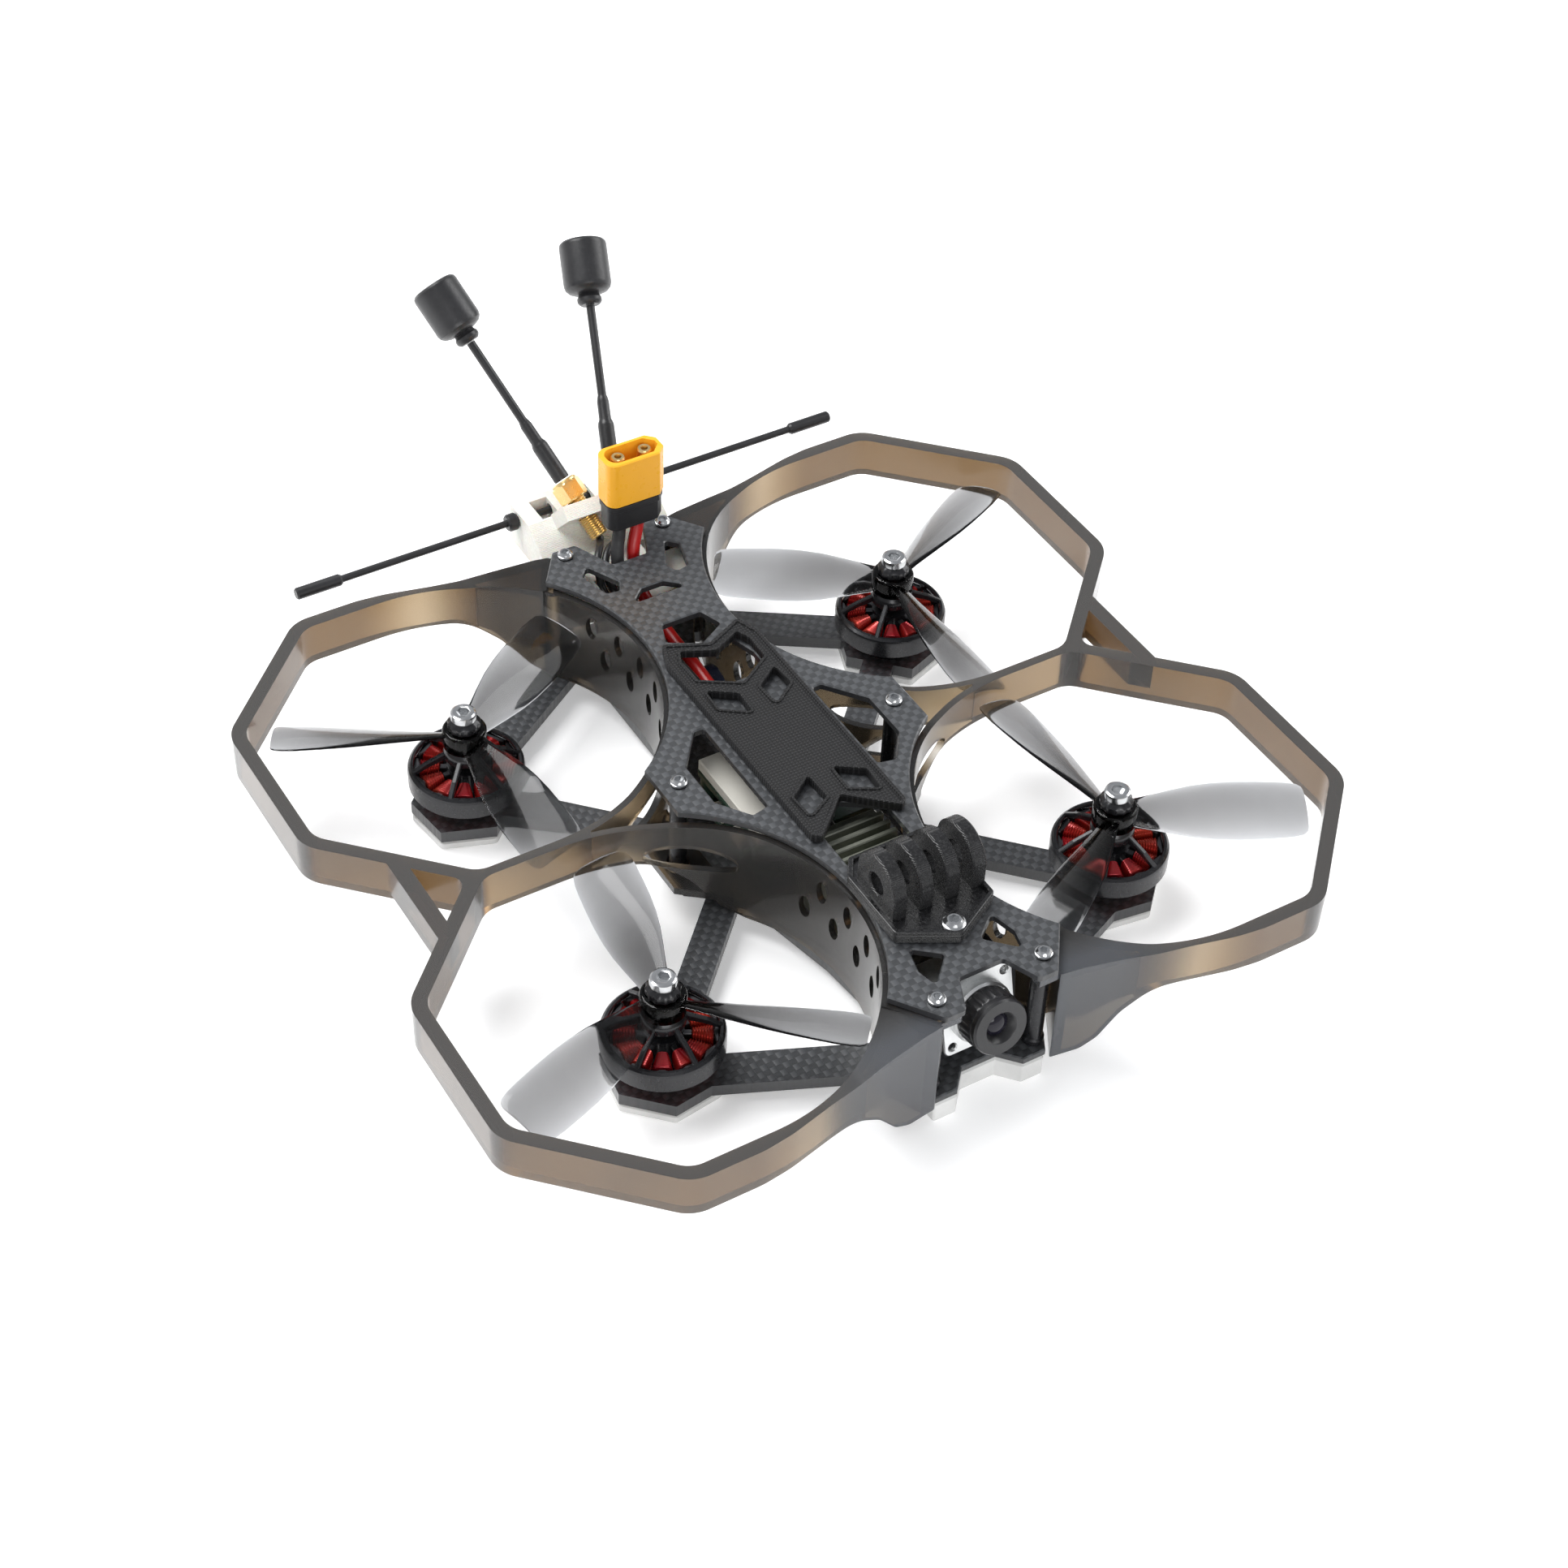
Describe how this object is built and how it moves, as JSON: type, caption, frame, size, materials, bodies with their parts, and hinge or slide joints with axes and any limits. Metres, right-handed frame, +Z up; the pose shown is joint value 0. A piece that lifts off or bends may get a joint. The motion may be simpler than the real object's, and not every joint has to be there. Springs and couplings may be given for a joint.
{
  "type": "ducted racing drone",
  "caption": "Small ducted racing drone: carbon plates, smoked duct guards round each rotor, tilting nose camera, battery pad, power plug and raked tail antennas.",
  "frame": {"origin": "on the ground, under the middle of the whole drone from the front of the duct guards to the antenna tips; the four rotor axes are centred 24 mm nearer the nose", "axes": "+X to the left side of the drone, +Y to its tail, +Z up"},
  "size_m": [0.2168, 0.2414, 0.0842],
  "materials": {
    "carbon_fibre": "woven carbon fibre plate, satin resin",
    "smoked_plastic": "translucent smoky polycarbonate, satin",
    "smoked_prop": "clear grey polycarbonate, glossy",
    "black_rubber": "matt, finely textured",
    "white_foam": "matt closed-cell foam",
    "black_metal": "black anodised aluminium, satin",
    "steel": "bright machined steel",
    "camera_metal": "natural aluminium, bead blasted",
    "black_plastic": "black moulded plastic",
    "circuit_board": "black circuit board with solder mask",
    "heat_sink": "grey-green anodised, ribbed",
    "yellow_nylon": "yellow nylon, satin",
    "red_silicone": "red silicone wire insulation",
    "white_tpu": "off-white printed flexible plastic",
    "gold": "gold plated brass, bright",
    "red_enamel": "red enamelled copper windings on black stator"
  },
  "bodies": {
    "airframe": {"top_plate": "carbon_fibre", "floor_plate": "carbon_fibre", "arm_plate": "carbon_fibre", "duct_guard_left": "smoked_plastic", "duct_guard_right": "smoked_plastic", "battery_pad": "black_rubber", "action_camera_mount": "black_rubber", "power_lead_black": "black_rubber", "nose_pad": "white_foam", "foot_pad_front_left": "white_foam", "foot_pad_front_right": "white_foam", "foot_pad_rear_left": "white_foam", "foot_pad_rear_right": "white_foam", "standoff_nose_left": "black_metal", "standoff_wing_left": "black_metal", "standoff_tail_left": "black_metal", "standoff_nose_right": "black_metal", "standoff_wing_right": "black_metal", "standoff_tail_right": "black_metal", "action_mount_screw": "steel", "plate_screw_nose_left": "steel", "plate_screw_wing_left": "steel", "plate_screw_tail_left": "steel", "plate_screw_nose_right": "steel", "plate_screw_wing_right": "steel", "plate_screw_tail_right": "steel", "camera_bracket": "black_plastic", "capacitor": "black_plastic", "plug_boot": "black_plastic", "antenna_stem_left": "black_plastic", "antenna_stem_right": "black_plastic", "antenna_cap_left": "black_plastic", "antenna_cap_right": "black_plastic", "receiver_antenna": "black_plastic", "speed_controller": "circuit_board", "flight_controller": "circuit_board", "video_transmitter": "heat_sink", "plug_housing": "yellow_nylon", "power_lead_red": "red_silicone", "antenna_mount": "white_tpu", "antenna_connector_left": "gold", "antenna_connector_right": "gold", "motor_base_front_left": "red_enamel", "motor_base_front_right": "red_enamel", "motor_base_rear_left": "red_enamel", "motor_base_rear_right": "red_enamel"},
    "rotor_front_left": {"motor_bell_front_left": "black_metal", "propeller_front_left": "smoked_prop", "prop_nut_front_left": "steel"},
    "rotor_front_right": {"motor_bell_front_right": "black_metal", "propeller_front_right": "smoked_prop", "prop_nut_front_right": "steel"},
    "rotor_rear_left": {"motor_bell_rear_left": "black_metal", "propeller_rear_left": "smoked_prop", "prop_nut_rear_left": "steel"},
    "rotor_rear_right": {"motor_bell_rear_right": "black_metal", "propeller_rear_right": "smoked_prop", "prop_nut_rear_right": "steel"},
    "camera": {"camera_body": "camera_metal", "camera_lens": "black_plastic"}
  },
  "joints": [
    {"name": "rotor_front_left_spin", "type": "hinge", "parent": "airframe", "child": "rotor_front_left", "pos_m": [0.0588, -0.0713, 0.02], "axis": [0, 0, 1], "continuous": true},
    {"name": "rotor_front_right_spin", "type": "hinge", "parent": "airframe", "child": "rotor_front_right", "pos_m": [-0.0588, -0.0713, 0.02], "axis": [0, 0, 1], "continuous": true},
    {"name": "rotor_rear_left_spin", "type": "hinge", "parent": "airframe", "child": "rotor_rear_left", "pos_m": [0.0588, 0.0233, 0.02], "axis": [0, 0, 1], "continuous": true},
    {"name": "rotor_rear_right_spin", "type": "hinge", "parent": "airframe", "child": "rotor_rear_right", "pos_m": [-0.0588, 0.0233, 0.02], "axis": [0, 0, 1], "continuous": true},
    {"name": "camera_tilt", "type": "hinge", "parent": "airframe", "child": "camera", "pos_m": [0, -0.0963, 0.0205], "axis": [-1, 0, 0], "range_deg": [-20, 14]}
  ]
}
